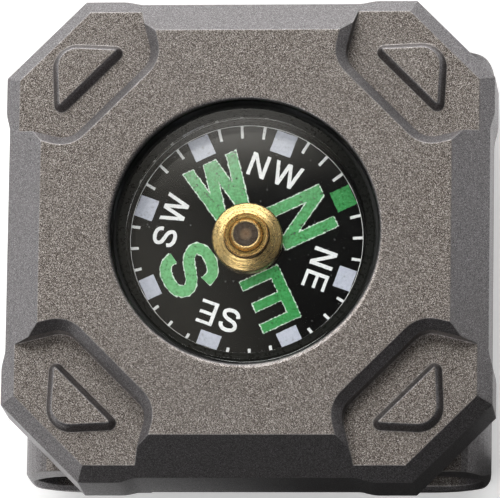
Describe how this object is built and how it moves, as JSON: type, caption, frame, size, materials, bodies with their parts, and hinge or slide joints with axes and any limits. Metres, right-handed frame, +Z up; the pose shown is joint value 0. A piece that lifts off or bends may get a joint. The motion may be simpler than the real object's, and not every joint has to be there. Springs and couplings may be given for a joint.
{
  "type": "watch strap compass",
  "caption": "Square bead-blasted case with cut corners and a strap loop beneath, holding a round liquid-filled compass whose card turns on a jewelled pivot under a clear lens.",
  "frame": {"origin": "centre of the case in plan, on the flat underside of the strap loop", "axes": "+Z up out of the lens along the capsule's axis; Y along the slot that the strap runs through; X across the strap"},
  "size_m": [0.0264, 0.0264, 0.0148],
  "materials": {
    "case_metal": "bead-blasted titanium, warm grey, with smoother machined chamfers",
    "sleeve_rubber": "matt black silicone",
    "cup_plastic": "black moulded plastic",
    "lens_clear": "polished clear acrylic",
    "pin_steel": "ground and pointed",
    "plug_brass": "turned",
    "card_plastic": "black with printed compass points",
    "hub_brass": "turned and lightly polished",
    "jewel_stone": "polished bearing jewel",
    "magnet_steel": "dull sintered magnet"
  },
  "bodies": {
    "case_body": {"case": "case_metal", "gasket_ring": "sleeve_rubber", "capsule_cup": "cup_plastic", "capsule_lens": "lens_clear", "pivot_pin": "pin_steel", "fill_plug": "plug_brass"},
    "card": {"card_disc": "card_plastic", "hub": "hub_brass", "jewel": "jewel_stone", "bar_magnet": "magnet_steel"}
  },
  "joints": [
    {"name": "card_spin", "type": "hinge", "parent": "case_body", "child": "card", "pos_m": [0, 0, 0.0123], "axis": [0, 0, 1], "continuous": true}
  ]
}
